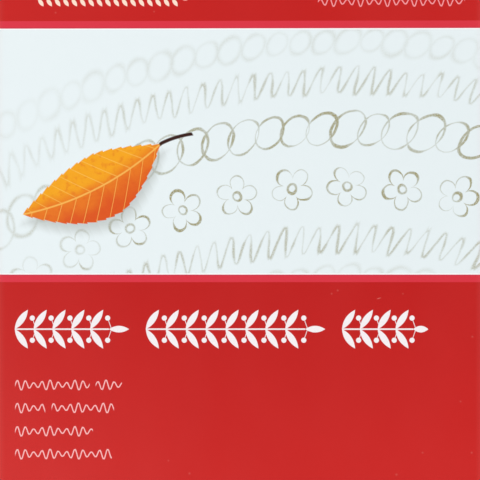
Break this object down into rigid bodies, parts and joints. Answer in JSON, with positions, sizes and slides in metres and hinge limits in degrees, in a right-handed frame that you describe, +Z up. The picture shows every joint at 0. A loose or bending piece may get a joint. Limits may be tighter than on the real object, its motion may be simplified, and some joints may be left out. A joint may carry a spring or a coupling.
{
  "type": "writing pad",
  "caption": "Head-bound writing pad of plain leaves, gummed along the head, with a grey backing board and a printed card cover that turns over the head.",
  "frame": {"origin": "middle of the pad's footprint, on the surface that it rests on", "axes": "+X across the width to the right, +Y along the length to the gummed head, +Z up through the front cover"},
  "size_m": [0.135, 0.178, 0.0066],
  "materials": {
    "cover_card": "red printed card with a gloss varnish",
    "writing_paper": "smooth uncoated white paper",
    "grey_board": "rough recycled grey board",
    "gum_film": "dried white gum"
  },
  "bodies": {
    "pad": {"back_board": "grey_board", "writing_sheets": "writing_paper", "padding_gum": "gum_film", "cover_binding": "cover_card"},
    "cover": {"front_cover": "cover_card"}
  },
  "joints": [
    {"name": "cover_hinge", "type": "hinge", "parent": "pad", "child": "cover", "pos_m": [0, 0.08886, 0.00642], "axis": [-1, 0, 0], "range_deg": [0, 178]}
  ]
}
